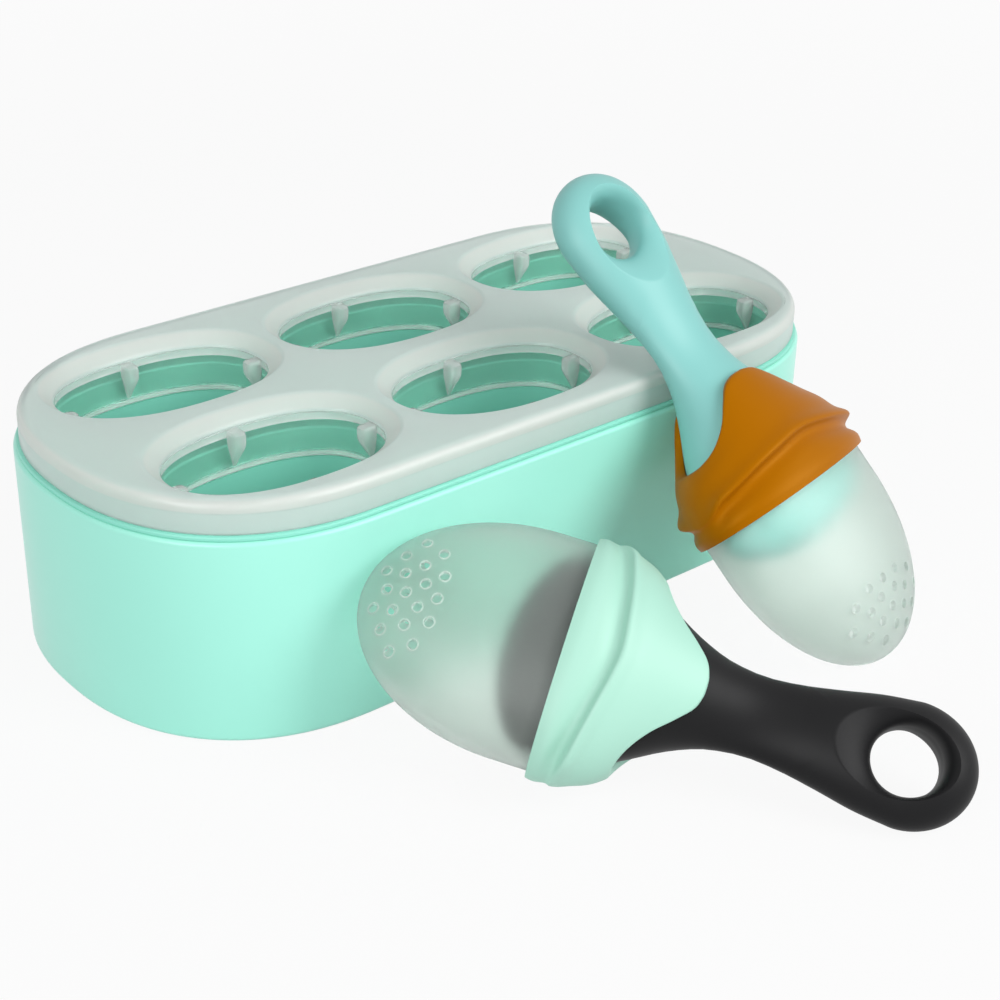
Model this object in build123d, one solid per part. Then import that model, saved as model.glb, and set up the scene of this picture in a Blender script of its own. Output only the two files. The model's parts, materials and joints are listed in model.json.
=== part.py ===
from build123d import *
import os
from math import copysign, cos, pi, sin, sqrt

# A freezer tray for baby food, with two feeders that belong to it.
# Frame: origin on the floor under the middle of the tray, +X along the tray, +Y to its back, +Z up.
# All sizes are millimetres and degrees.

# ------------------------------------------------------------------ tray: outline and tub
LID_LENGTH = 220.0        # over the two curved ends of the lid
LID_WIDTH = 105.8         # over the two straight sides of the lid
END_REACH = 52.2          # how far each curved end runs past the straight sides
END_FULLNESS = 2.3        # 2 is a true ellipse, and more is squarer
TUB_HEIGHT = 52.6         # floor to the rim that the cup flange rests on
TUB_PROUD = 1.5           # how far the tub stands outside the lid
TUB_WALL = 2.6
TUB_FLOOR = 2.6
TUB_FOOT_RADIUS = 1.6
TUB_RIM_RADIUS = 0.6

# ------------------------------------------------------------------ tray: lid and its six openings
LID_HEIGHT = 8.6          # flange to the top of the lid
LID_PLATE = 2.2
LID_SKIRT = 2.0
LID_CROWN_RADIUS = 2.5
OPENING_HALF_X = 28.0
OPENING_HALF_Y = 17.8
OPENING_FULLNESS = 2.32
OPENING_PITCH_X = 66.2    # three openings along the tray
OPENING_PITCH_Y = 48.9    # two rows
OPENING_NAMES = ["front_left", "front_middle", "front_right", "back_left", "back_middle", "back_right"]
LIP_WIDTH = 3.8           # the slope from the top of the lid into each opening
LIP_DROP = 3.4
SLEEVE_WALL = 1.4         # of the clear sleeve under each opening
SLEEVE_DEPTH = 12.5       # from the lip's lower edge to the sleeve's
SLEEVE_SEAM = 0.6         # from the lip's lower edge to the top of the sleeve
SOCKET_WALL = 0.8         # of the lid, round the top of each sleeve
SOCKET_DEPTH = 0.8
FIN_HALF_WIDTH = 1.8      # of the four fins in each sleeve, at the ends of its two middle lines
FIN_REACH = 3.9           # how far a fin's head stands into the opening
FIN_HEAD = 4.0            # height of the head, below which the fin tapers
FIN_TIP = 0.5             # what is left of both sizes at the fin's lower end
FIN_TIP_RISE = 1.5        # from the sleeve's lower edge to that end
FIN_DROP = 1.2            # from the lip's lower edge to the top of a fin

# ------------------------------------------------------------------ tray: cup insert
FLANGE_THICKNESS = 1.2
FLANGE_INSET = 0.7        # from the tub's outer face to the flange's edge
CUP_WALL = 1.3
CUP_CLEARANCE = 0.3       # round the lid's sleeves, and under them
CUP_LEDGE = 1.2           # the step that each sleeve stops above
CUP_DEPTH = 39.5          # ledge to the inside of the cup's bottom
CUP_ROUNDING = 41.0       # depth at which the rounded cup would close to a point

# ------------------------------------------------------------------ feeder, along its own +X from bulb to handle
BULB_HALF_WIDTH = 27.0
BULB_HALF_THICKNESS = 16.2
BULB_REACH = 39.0         # length of the rounded part
BULB_STRAIGHT = 8.6       # rounded part to the collar's edge
BULB_TUCK = 5.0           # how far the bulb runs on inside the collar
BULB_WALL = 1.5
FOOD_HOLE_RADIUS = 1.05
# The food holes through both faces, as (distance from the collar's edge, offsets across the bulb).
FOOD_HOLE_ROWS = [
    (29.5, [-5.5, 0.0, 5.5]),
    (31.5, [-10.9, 10.9]),
    (33.1, [-2.8, 2.8]),
    (34.7, [-7.2, 7.2]),
    (36.3, [-13.2, 13.2]),
    (36.8, [0.0]),
    (38.4, [-4.5, 4.5]),
    (39.8, [-9.0, 9.0]),
    (41.3, [0.0]),
    (43.0, [-4.6, 4.6]),
]

# Collar: a band over the bulb, a finger ridge, and a skirt with a lobe over each face of the handle.
# Band stations are (distance from the edge, how far the collar stands outside the bulb).
COLLAR_BAND = [(0.0, 1.5), (2.2, 2.2), (6.4, 1.3), (10.4, 1.9)]
# Skirt stations are (distance from the edge, wall over the handle).
COLLAR_SKIRT = [(14.6, 3.6), (20.5, 2.3), (27.0, 2.1), (34.0, 2.0)]
COLLAR_CLEARANCE = 0.3
# Half of the skirt's edge, seen on the flat face: (distance from the edge, half width).
LOBE_EDGE = [(17.5, 24.0), (18.0, 20.9), (20.0, 18.0), (24.5, 12.9), (28.6, 9.2), (31.6, 4.9), (32.6, 0.0)]
LOBE_ROOM = 31.0          # half width that clears the whole collar

# Handle sections: (distance from the collar's edge, half width, half thickness).
HANDLE_SECTIONS = [
    (6.0, 24.6, 13.9),
    (10.0, 23.4, 13.8),
    (15.5, 20.6, 13.3),
    (21.5, 17.2, 12.3),
    (26.0, 14.5, 11.0),
    (30.5, 12.3, 9.4),
    (36.0, 10.4, 7.4),
    (44.0, 9.4, 5.4),
    (52.0, 10.0, 5.7),
    (61.0, 11.6, 7.2),
    (70.0, 13.5, 8.2),
    (79.0, 14.6, 8.5),
    (86.0, 13.1, 8.0),
    (91.0, 9.2, 6.4),
    (94.0, 4.0, 3.2),
]
HANDLE_HOLE_AT = 78.5
HANDLE_HOLE_RADIUS = 8.3
HANDLE_DISH_RADIUS = 12.4
HANDLE_DISH_DEPTH = 3.0
STEM_GAP = 2.0            # between the stem and the inside of the bulb
STEM_REACH = 13.7         # how far the stem's dome stands into the bulb
STEM_DOME = 12.7
SPIGOT_RADIUS = 6.0       # the stem's peg in the handle
SPIGOT_LENGTH = 12.0

# ------------------------------------------------------------------ where the two feeders lie
REST_GAP = 0.3            # left between a feeder and the tray that it leans on
START_OFF = 20.0          # how far in front of its place a feeder starts before it is leaned
BLACK_PLACE = (-38.3, -95.0)
BLACK_HEADING = -53.4     # of its handle, in plan
BLACK_SLOPE = -11.3       # its handle slopes down to the floor
BLACK_ROLL = 40.4         # about its own length
AQUA_PLACE = (44.3, -83.0)
AQUA_HEADING = 104.5
AQUA_SLOPE = 46.0
AQUA_ROLL = -11.2

# ------------------------------------------------------------------ levels worked out from the sizes above
FLANGE_TOP = TUB_HEIGHT + FLANGE_THICKNESS
LID_TOP = FLANGE_TOP + LID_HEIGHT
LIP_LEVEL = LID_TOP - LIP_DROP
SEAM_LEVEL = LIP_LEVEL - SLEEVE_SEAM
SOCKET_LEVEL = SEAM_LEVEL - SOCKET_DEPTH
SLEEVE_FOOT = LIP_LEVEL - SLEEVE_DEPTH
LEDGE_LEVEL = SLEEVE_FOOT - CUP_CLEARANCE


# ------------------------------------------------------------------ outlines
def tray_outline(grow):
    """The tray's outline, moved outwards by grow."""
    straight = LID_LENGTH / 2 - END_REACH
    reach = END_REACH + grow
    half = LID_WIDTH / 2 + grow
    turns = [pi * step / 12 for step in range(-6, 7)]
    power = 2 / END_FULLNESS
    points = [
        (straight + reach * abs(cos(t)) ** power, half * copysign(abs(sin(t)) ** power, t))
        for t in turns
    ]
    end = Spline(*points, tangents=[(1, 0), (-1, 0)])
    top = Line((straight, half), (-straight, half))
    return make_face([end, top, end.rotate(Axis.Z, 180), top.rotate(Axis.Z, 180)])


def opening_outline(grow, scale_by=1.0):
    """The outline of one opening, moved outwards by grow or shrunk towards its middle."""
    power = 2 / OPENING_FULLNESS
    points = []
    for step in range(24):
        t = 2 * pi * step / 24
        x = (OPENING_HALF_X + grow) * copysign(abs(cos(t)) ** power, cos(t))
        y = (OPENING_HALF_Y + grow) * copysign(abs(sin(t)) ** power, sin(t))
        points.append((x * scale_by, y * scale_by))
    return make_face([Spline(*points, periodic=True)])


def slab(outline, low, high):
    """An outline raised from one level to another."""
    return Pos(0, 0, low) * extrude(outline, amount=high - low)


def crowned_slab(grow, low, high, radius):
    """The tray's outline raised from one level to another, with its upper edge rounded."""
    turns = [pi / 2 * step / 5 for step in range(6)]
    crown = loft([
        Pos(0, 0, high - radius + radius * sin(t)) * tray_outline(grow - radius * (1 - cos(t)))
        for t in turns
    ])
    return slab(tray_outline(grow), low, high - radius) + crown


def opening_places():
    columns = [-OPENING_PITCH_X, 0, OPENING_PITCH_X]
    rows = [-OPENING_PITCH_Y / 2, OPENING_PITCH_Y / 2]
    return [Pos(x, y, 0) for y in rows for x in columns]


# ------------------------------------------------------------------ the tray's three pieces
def tray_tub():
    tub = slab(tray_outline(TUB_PROUD), 0, TUB_HEIGHT)
    foot = tub.edges().group_by(Axis.Z)[0]
    tub = fillet(foot, TUB_FOOT_RADIUS)
    rim = tub.edges().group_by(Axis.Z)[-1]
    tub = fillet(rim, TUB_RIM_RADIUS)
    return tub - slab(tray_outline(TUB_PROUD - TUB_WALL), TUB_FLOOR, TUB_HEIGHT + 1)


def cup_outline_at(depth, wall):
    """The cup's section at a depth below its ledge."""
    shrink = sqrt(1 - (depth / CUP_ROUNDING) ** 2)
    return opening_outline(SLEEVE_WALL + CUP_CLEARANCE - CUP_LEDGE + wall, shrink)


def cup_bowl(wall):
    """The rounded part of a cup, below its ledge."""
    depths = [CUP_DEPTH * part for part in (0, 0.25, 0.5, 0.7, 0.84, 0.94, 1)]
    return loft([Pos(0, 0, LEDGE_LEVEL - depth - wall) * cup_outline_at(depth, wall) for depth in depths])


def cup_insert():
    mouth = SLEEVE_WALL + CUP_CLEARANCE
    insert = slab(tray_outline(TUB_PROUD - FLANGE_INSET), TUB_HEIGHT, FLANGE_TOP)
    sleeve_room = slab(opening_outline(mouth), LEDGE_LEVEL, FLANGE_TOP + 1)
    cup = slab(opening_outline(mouth + CUP_WALL), LEDGE_LEVEL - CUP_WALL, TUB_HEIGHT)
    cup = cup + cup_bowl(CUP_WALL) - [cup_bowl(0), sleeve_room]
    insert = insert - [place * sleeve_room for place in opening_places()]
    return insert + [place * cup for place in opening_places()]


def sleeve_fins():
    """The four tapered fins inside one sleeve."""
    head = LIP_LEVEL - FIN_DROP
    shoulder = head - FIN_HEAD
    whole = Ellipse(FIN_HALF_WIDTH, FIN_REACH)
    tip = Ellipse(FIN_TIP, FIN_TIP)
    fin = loft([Pos(0, 0, SLEEVE_FOOT + FIN_TIP_RISE) * tip, Pos(0, 0, shoulder) * whole])
    fin = fin + slab(whole, shoulder, head)
    room = slab(opening_outline(SLEEVE_WALL / 2), SLEEVE_FOOT, LIP_LEVEL)
    places = [Pos(0, side * OPENING_HALF_Y, 0) for side in (-1, 1)]
    places += [Pos(side * OPENING_HALF_X, 0, 0) * Rot(Z=90) for side in (-1, 1)]
    return [(place * fin) & room for place in places]


def opening_sleeve():
    """The clear sleeve that hangs in a socket under the lip of one opening."""
    sleeve = slab(opening_outline(SLEEVE_WALL), SLEEVE_FOOT, SEAM_LEVEL)
    sleeve = sleeve - slab(opening_outline(0), SLEEVE_FOOT - 1, LIP_LEVEL)
    return sleeve + sleeve_fins()


def tray_lid():
    """The frosted plate and skirt, with a sloping lip and a sleeve's socket at each opening."""
    under = LID_TOP - LID_PLATE
    lid = crowned_slab(0, FLANGE_TOP, LID_TOP, LID_CROWN_RADIUS)
    lid = lid - slab(tray_outline(-LID_SKIRT), FLANGE_TOP - 1, under)
    socket = loft([
        Pos(0, 0, SOCKET_LEVEL) * opening_outline(SLEEVE_WALL + SOCKET_WALL),
        Pos(0, 0, under) * opening_outline(SLEEVE_WALL + LIP_WIDTH),
    ])
    slope = loft([
        Pos(0, 0, LIP_LEVEL) * opening_outline(0),
        Pos(0, 0, LID_TOP) * opening_outline(LIP_WIDTH),
    ])
    bore = slope + slab(opening_outline(0), SOCKET_LEVEL - 1, LIP_LEVEL)
    bore = bore + slab(opening_outline(SLEEVE_WALL), SOCKET_LEVEL - 1, SEAM_LEVEL)
    lid = lid + [place * socket for place in opening_places()]
    return lid - [place * bore for place in opening_places()]


# ------------------------------------------------------------------ one feeder, in its own frame
def section(along, half_width, half_thickness):
    """An oval section across the feeder."""
    return Plane.YZ.offset(along) * Ellipse(half_width, half_thickness)


def oval_rod(start, end, half_width, half_thickness):
    return extrude(section(start, half_width, half_thickness), amount=end - start)


def dome(base, reach, half_width, half_thickness):
    """Half an ellipsoid, bulging towards the bulb's tip."""
    on_its_base = (Align.CENTER, Align.CENTER, Align.MIN)
    half_ball = Sphere(1, arc_size1=0, align=on_its_base)
    half_ball = scale(half_ball, by=(half_thickness, half_width, reach))
    return Pos(base, 0, 0) * Rot(Y=-90) * half_ball


def bulb_body(inset):
    base = -BULB_STRAIGHT
    sizes = (BULB_HALF_WIDTH - inset, BULB_HALF_THICKNESS - inset)
    straight = oval_rod(base, BULB_TUCK + inset, *sizes)
    return dome(base, BULB_REACH - inset, *sizes) + straight


def feeder_bulb():
    bulb = bulb_body(0) - bulb_body(BULB_WALL)
    drill = Cylinder(FOOD_HOLE_RADIUS, 4 * BULB_HALF_THICKNESS)
    drills = [Pos(-along, across, 0) * drill for along, offsets in FOOD_HOLE_ROWS for across in offsets]
    return bulb - drills


def handle_body(grow):
    return loft([section(x, w + grow, t + grow) for x, w, t in HANDLE_SECTIONS])


def handle_size_at(along):
    """Half width and half thickness of the handle, between its sections."""
    for (x0, w0, t0), (x1, w1, t1) in zip(HANDLE_SECTIONS, HANDLE_SECTIONS[1:]):
        if x0 <= along <= x1:
            share = (along - x0) / (x1 - x0)
            return w0 + (w1 - w0) * share, t0 + (t1 - t0) * share
    return HANDLE_SECTIONS[0][1:]


def feeder_collar():
    sections = [
        section(x, BULB_HALF_WIDTH + out, BULB_HALF_THICKNESS + out) for x, out in COLLAR_BAND
    ]
    for x, wall in COLLAR_SKIRT:
        width, thickness = handle_size_at(x)
        grow = COLLAR_CLEARANCE + wall
        sections.append(section(x, width + grow, thickness + grow))
    collar = loft(sections)
    upper = Spline(*LOBE_EDGE, tangents=[(0, -1), (0, -1)])
    notch = Line((LOBE_EDGE[0][0], LOBE_ROOM), LOBE_EDGE[0])
    side = Line((-BULB_TUCK, LOBE_ROOM), (LOBE_EDGE[0][0], LOBE_ROOM))
    back = Line((-BULB_TUCK, LOBE_ROOM), (-BULB_TUCK, -LOBE_ROOM))
    half = [side, notch, upper]
    outline = make_face([*half, *[edge.mirror(Plane.XZ) for edge in half], back])
    collar = collar & slab(outline, -2 * BULB_HALF_THICKNESS, 2 * BULB_HALF_THICKNESS)
    collar = collar - bulb_body(0)
    root, width, thickness = HANDLE_SECTIONS[0]
    entry = oval_rod(BULB_TUCK - 1, root, width + COLLAR_CLEARANCE, thickness + COLLAR_CLEARANCE)
    return collar - handle_body(COLLAR_CLEARANCE) - entry


def feeder_handle():
    handle = handle_body(0)
    hole = Cylinder(HANDLE_HOLE_RADIUS, 4 * HANDLE_DISH_RADIUS)
    _, thickness = handle_size_at(HANDLE_HOLE_AT)
    dish = Cone(HANDLE_HOLE_RADIUS, HANDLE_DISH_RADIUS, HANDLE_DISH_DEPTH)
    dish = Pos(0, 0, thickness - HANDLE_DISH_DEPTH / 2) * dish
    tools = [Pos(HANDLE_HOLE_AT, 0, 0) * tool for tool in (hole, dish, Rot(X=180) * dish)]
    return handle - [*tools, stem_spigot()]


def stem_spigot():
    root = HANDLE_SECTIONS[0][0]
    return Pos(root + SPIGOT_LENGTH / 2, 0, 0) * Rot(Y=90) * Cylinder(SPIGOT_RADIUS, SPIGOT_LENGTH)


def feeder_stem():
    sizes = (
        BULB_HALF_WIDTH - BULB_WALL - STEM_GAP,
        BULB_HALF_THICKNESS - BULB_WALL - STEM_GAP,
    )
    base = STEM_DOME - STEM_REACH
    root = HANDLE_SECTIONS[0][0]
    return dome(base, STEM_DOME, *sizes) + oval_rod(base, root, *sizes) + stem_spigot()


# ------------------------------------------------------------------ laying the feeders down
def lay_down(pieces, place, heading, slope, roll):
    """Turns the pieces of a feeder to its lie and sets the lowest of them on the floor."""
    turn = Rot(Z=heading) * Rot(Y=-slope) * Rot(X=roll)
    turned = {name: turn * piece for name, piece in pieces.items()}
    lowest = min(piece.bounding_box().min.Z for piece in turned.values())
    return {name: Pos(*place, -lowest) * piece for name, piece in turned.items()}


def lean_on(pieces, support, steps=10):
    """Moves the pieces along Y until the nearest of them is a rest gap from the support."""
    for _ in range(steps):
        gap = min(piece.distance_to(support) for piece in pieces.values())
        pieces = {name: Pos(0, gap - REST_GAP, 0) * piece for name, piece in pieces.items()}
    return pieces


def feeder_in_place(feeder, place, lie, support):
    """One feeder lying on the floor and leaning on the tray."""
    x, y = place
    return lean_on(lay_down(feeder, (x, y - START_OFF), *lie), support)


def main():
    os.makedirs("parts", exist_ok=True)
    nodes = {"tray_tub": tray_tub(), "cup_insert": cup_insert(), "tray_lid": tray_lid()}
    sleeve = opening_sleeve()
    for name, place in zip(OPENING_NAMES, opening_places()):
        nodes[f"{name}_sleeve"] = place * sleeve
    feeder = {
        "handle": feeder_handle(),
        "stem": feeder_stem(),
        "collar": feeder_collar(),
        "bulb": feeder_bulb(),
    }
    tub_block = slab(tray_outline(TUB_PROUD), 0, TUB_HEIGHT)
    lid_block = crowned_slab(0, FLANGE_TOP, LID_TOP, LID_CROWN_RADIUS)
    black_lie = (BLACK_HEADING, BLACK_SLOPE, BLACK_ROLL)
    aqua_lie = (AQUA_HEADING, AQUA_SLOPE, AQUA_ROLL)
    feeders = {
        "black": feeder_in_place(feeder, BLACK_PLACE, black_lie, tub_block),
        "aqua": feeder_in_place(feeder, AQUA_PLACE, aqua_lie, lid_block),
    }
    for colour, pieces in feeders.items():
        for name, piece in pieces.items():
            nodes[f"{colour}_feeder_{name}"] = piece
    for name, node in nodes.items():
        export_step(node, f"parts/{name}.step")
    for colour, pieces in feeders.items():
        print(colour, "feeder is placed at", pieces["bulb"].location.position)


main()
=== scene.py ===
import json
import math

import bmesh
import bpy
from mathutils import Matrix, Vector


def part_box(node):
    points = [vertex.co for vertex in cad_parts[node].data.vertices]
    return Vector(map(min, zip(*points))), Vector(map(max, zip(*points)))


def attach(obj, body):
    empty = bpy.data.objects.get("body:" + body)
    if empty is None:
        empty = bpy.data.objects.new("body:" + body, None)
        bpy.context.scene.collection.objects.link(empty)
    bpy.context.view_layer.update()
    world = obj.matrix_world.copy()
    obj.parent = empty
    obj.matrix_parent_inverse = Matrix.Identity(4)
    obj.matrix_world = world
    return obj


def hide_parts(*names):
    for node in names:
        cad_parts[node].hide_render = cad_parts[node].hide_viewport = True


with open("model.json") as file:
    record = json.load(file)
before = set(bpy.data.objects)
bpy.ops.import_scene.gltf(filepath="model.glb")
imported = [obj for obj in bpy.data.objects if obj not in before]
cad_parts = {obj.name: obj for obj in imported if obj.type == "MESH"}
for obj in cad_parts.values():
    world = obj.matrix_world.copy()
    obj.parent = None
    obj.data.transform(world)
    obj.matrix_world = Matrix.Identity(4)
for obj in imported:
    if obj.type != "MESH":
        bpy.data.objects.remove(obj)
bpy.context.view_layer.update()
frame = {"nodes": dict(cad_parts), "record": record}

# A baby food freezer tray with two feeders, dressed around its solids.
# Shapes are worked out in millimetres and placed in metres, in the solids' own frame.
MM = 0.001
# Points this close together, in millimetres, are one.
FINE_MERGE = 1e-4
MERGE = 1e-3
NODES = frame["nodes"]
BODIES = frame["record"]["behaviour"]["bodies"]


# ---------------------------------------------------------------- loops, skins and finished pieces
def start_loop(bm, count, shape):
    """A closed loop whose vertices remember their turn, which later loops grown from it keep."""
    turn = bm.verts.layers.int.get("turn") or bm.verts.layers.int.new("turn")
    verts = bmesh.ops.create_circle(bm, segments=count, radius=1.0)["verts"]
    for vert in verts:
        vert[turn] = round(math.atan2(vert.co.y, vert.co.x) / math.tau * count) % count
        vert.co = shape(vert[turn] / count)
    return list({edge for vert in verts for edge in vert.link_edges})


def next_loop(bm, edges, count, shape):
    """Extrudes a loop and moves the new one to its place."""
    turn = bm.verts.layers.int["turn"]
    made = bmesh.ops.extrude_edge_only(bm, edges=edges)["geom"]
    verts = {item for item in made if isinstance(item, bmesh.types.BMVert)}
    for vert in verts:
        vert.co = shape(vert[turn] / count)
    edges = [item for item in made if isinstance(item, bmesh.types.BMEdge)]
    return [edge for edge in edges if edge.verts[0] in verts and edge.verts[1] in verts]


def skin(bm, count, shapes):
    """A skin through loops of one count, and the edges of its first and last loops."""
    first = start_loop(bm, count, shapes[0])
    last = first
    for shape in shapes[1:]:
        last = next_loop(bm, last, count, shape)
    return first, last


def close_shape(bm, merge=FINE_MERGE):
    """Merges doubled points, drops faces without area and turns all faces outwards."""
    bmesh.ops.remove_doubles(bm, verts=bm.verts, dist=merge)
    bmesh.ops.dissolve_degenerate(bm, edges=bm.edges, dist=merge)
    bmesh.ops.recalc_face_normals(bm, faces=bm.faces)


def finished(bm, name, place=None, sharp=40.0):
    """Turns a bmesh in millimetres into a smooth-shaded object in its place."""
    bm.transform((place or Matrix.Identity(4)) @ Matrix.Scale(MM, 4))
    mesh = bpy.data.meshes.new(name)
    bm.to_mesh(mesh)
    bm.free()
    mesh.shade_smooth()
    mesh.set_sharp_from_angle(angle=math.radians(sharp))
    piece = bpy.data.objects.new(name, mesh)
    bpy.context.scene.collection.objects.link(piece)
    return piece


def apply_modifiers(piece):
    """Applies a piece's modifiers to its mesh."""
    bpy.context.view_layer.objects.active = piece
    for modifier in list(piece.modifiers):
        bpy.ops.object.modifier_apply(modifier=modifier.name)


def install(piece, node, material):
    """Puts a piece in the place of a node of the model."""
    piece.data.materials.clear()
    piece.data.materials.append(material)
    body = next(name for name, members in BODIES.items() if node in members)
    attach(piece, body)
    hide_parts(node)


def arc(centre, radius, start, end, steps):
    """Points (across, level) on a round corner, from one angle to another in degrees."""
    turns = [math.radians(start + (end - start) * step / steps) for step in range(steps + 1)]
    return [(centre[0] + radius * math.cos(t), centre[1] + radius * math.sin(t)) for t in turns]


def eased(table, x):
    """A smooth value between the entries of a table of (x, value)."""
    if x <= table[0][0]:
        return table[0][1]
    if x >= table[-1][0]:
        return table[-1][1]
    index = max(i for i, entry in enumerate(table[:-1]) if entry[0] <= x)

    def slope(i):
        low, high = table[max(i - 1, 0)], table[min(i + 1, len(table) - 1)]
        return (high[1] - low[1]) / (high[0] - low[0])

    (x0, y0), (x1, y1) = table[index], table[index + 1]
    span = x1 - x0
    u = (x - x0) / span
    rise0, rise1 = slope(index) * span, slope(index + 1) * span
    return ((2 * u - 3) * u * u + 1) * y0 + ((u - 2) * u + 1) * u * rise0 \
        + (3 - 2 * u) * u * u * y1 + (u - 1) * u * u * rise1


def rising(low, high, x):
    """0 below low, 1 above high, and smooth between."""
    u = min(max((x - low) / (high - low), 0.0), 1.0)
    return u * u * (3 - 2 * u)


# ---------------------------------------------------------------- tray: outlines and levels
END_REACH = 52.2
END_FULLNESS = 2.3
END_STEPS = 64
TRAY_STEPS = 2 * END_STEPS
LID_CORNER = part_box("tray_lid")[1] / MM
TUB_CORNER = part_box("tray_tub")[1] / MM
FLANGE_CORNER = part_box("cup_insert")[1] / MM
LID_HALF_LENGTH = LID_CORNER.x
LID_HALF_WIDTH = LID_CORNER.y
LID_TOP = LID_CORNER.z
TUB_PROUD = TUB_CORNER.x - LID_CORNER.x
TUB_HEIGHT = TUB_CORNER.z
FLANGE_GROW = FLANGE_CORNER.x - LID_CORNER.x
FLANGE_TOP = FLANGE_CORNER.z

OPENING_PITCH = (66.2, 48.9)
OPENING_HALF = (28.0, 17.8)
OPENING_FULLNESS = 2.32
OPENING_STEPS = 96
OPENING_ROWS = {"front": -0.5, "back": 0.5}
OPENING_COLUMNS = {"left": -1, "middle": 0, "right": 1}
OPENINGS = {
    row + "_" + column: (along * OPENING_PITCH[0], across * OPENING_PITCH[1])
    for row, across in OPENING_ROWS.items() for column, along in OPENING_COLUMNS.items()
}


def power_point(turn, half_x, half_y, fullness):
    """A point of an oval that is fuller than an ellipse."""
    c, s = math.cos(turn), math.sin(turn)
    power = 2 / fullness
    return half_x * math.copysign(abs(c) ** power, c), half_y * math.copysign(abs(s) ** power, s)


def tray_shape(grow, level):
    """A loop of the tray's outline, moved outwards, at a level."""
    straight = LID_HALF_LENGTH - END_REACH

    def shape(turn):
        step = round(turn * TRAY_STEPS)
        side = 1 if step < END_STEPS else -1
        part = (step % END_STEPS) / (END_STEPS - 1)
        x, y = power_point(math.pi * (part - 0.5), END_REACH + grow, LID_HALF_WIDTH + grow, END_FULLNESS)
        return Vector((side * (straight + x), side * y, level))

    return shape


def opening_shape(place, grow, level, scale_by=1.0):
    """A loop of one opening's outline, moved outwards and scaled towards its middle, at a level."""
    half_x, half_y = OPENING_HALF[0] + grow, OPENING_HALF[1] + grow

    def shape(turn):
        x, y = power_point(math.tau * turn, half_x, half_y, OPENING_FULLNESS)
        return Vector((place[0] + x * scale_by, place[1] + y * scale_by, level))

    return shape


# ---------------------------------------------------------------- tray: tub
TUB_WALL = 2.6
TUB_FLOOR = 2.6
TUB_BEND = 2.0
TUB_FOOT = 1.6
TUB_RIM = 1.05


def tray_tub():
    """The tub, from the middle of its floor over its rounded rim to its foot."""
    inner = TUB_PROUD - TUB_WALL
    sections = [(inner - TUB_BEND, TUB_FLOOR)]
    sections += arc((inner - TUB_BEND, TUB_FLOOR + TUB_BEND), TUB_BEND, -90, 0, 5)[1:]
    sections += arc((inner + TUB_RIM, TUB_HEIGHT - TUB_RIM), TUB_RIM, 180, 90, 5)
    sections += arc((TUB_PROUD - TUB_RIM, TUB_HEIGHT - TUB_RIM), TUB_RIM, 90, 0, 6)
    sections += arc((TUB_PROUD - TUB_FOOT, TUB_FOOT), TUB_FOOT, 0, -90, 7)
    bm = bmesh.new()
    first, last = skin(bm, TRAY_STEPS, [tray_shape(*section) for section in sections])
    bmesh.ops.edgeloop_fill(bm, edges=first)
    bmesh.ops.edgeloop_fill(bm, edges=last)
    close_shape(bm)
    return finished(bm, "tub_shell", sharp=30)


# ---------------------------------------------------------------- tray: cups
SLEEVE_WALL = 1.4
LIP_DROP = 3.4
SLEEVE_DEPTH = 12.5
LIP_LEVEL = LID_TOP - LIP_DROP
SLEEVE_FOOT = LIP_LEVEL - SLEEVE_DEPTH
CUP_PLAY = 0.3
CUP_MOUTH = SLEEVE_WALL + CUP_PLAY
CUP_WALL = 1.3
CUP_LEDGE_LEVEL = SLEEVE_FOOT - CUP_PLAY
CUP_LEDGE_EASE = 0.3
CUP_BOWL_GROW = 0.5
CUP_DEPTH = 39.5
CUP_ROUNDING = 41.0
CUP_BOWL_STEPS = 14
FLANGE_ROUNDING = 0.4


def bowl_sections(wall):
    """The rounded part of a cup as (outwards, level, scale), ending in a point."""
    sections = []
    for step in range(CUP_BOWL_STEPS + 1):
        depth = CUP_DEPTH * math.sin(math.pi / 2 * step / CUP_BOWL_STEPS)
        scale_by = math.sqrt(1 - (depth / CUP_ROUNDING) ** 2)
        sections.append((CUP_BOWL_GROW + wall, CUP_LEDGE_LEVEL - depth - wall, scale_by))
    return sections


def cup_insert():
    """The flange between tub and lid, with its six cups."""
    bm = bmesh.new()
    edge, ease, outer = FLANGE_ROUNDING, CUP_LEDGE_EASE, CUP_MOUTH + CUP_WALL
    rim = arc((FLANGE_GROW - edge, FLANGE_TOP - edge), edge, 90, 0, 3)
    rim += arc((FLANGE_GROW - edge, TUB_HEIGHT + edge), edge, 0, -90, 3)
    top, under = skin(bm, TRAY_STEPS, [tray_shape(*section) for section in rim])
    inside = [(CUP_MOUTH + edge, FLANGE_TOP), (CUP_MOUTH, FLANGE_TOP - edge)]
    inside += [(CUP_MOUTH, CUP_LEDGE_LEVEL + ease), (CUP_MOUTH - ease, CUP_LEDGE_LEVEL)]
    inside += [(CUP_BOWL_GROW + ease, CUP_LEDGE_LEVEL)] + bowl_sections(0)
    outside = [(outer + edge, TUB_HEIGHT), (outer, TUB_HEIGHT - edge), (outer, CUP_LEDGE_LEVEL)]
    outside += bowl_sections(CUP_WALL)
    for place in OPENINGS.values():
        for sections, plate in ((inside, top), (outside, under)):
            first, last = skin(bm, OPENING_STEPS, [opening_shape(place, *section) for section in sections])
            plate += first
            bmesh.ops.edgeloop_fill(bm, edges=last)
    for plate in (top, under):
        bmesh.ops.triangle_fill(bm, use_beauty=True, edges=plate)
    close_shape(bm)
    return finished(bm, "cups", sharp=35)


# ---------------------------------------------------------------- tray: lid
LID_PLATE = 2.2
LID_SKIRT = 2.0
LID_EDGE = 0.35
LID_BEND = 0.5
LID_CROWN = 2.5
CROWN_START = 0.3
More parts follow.
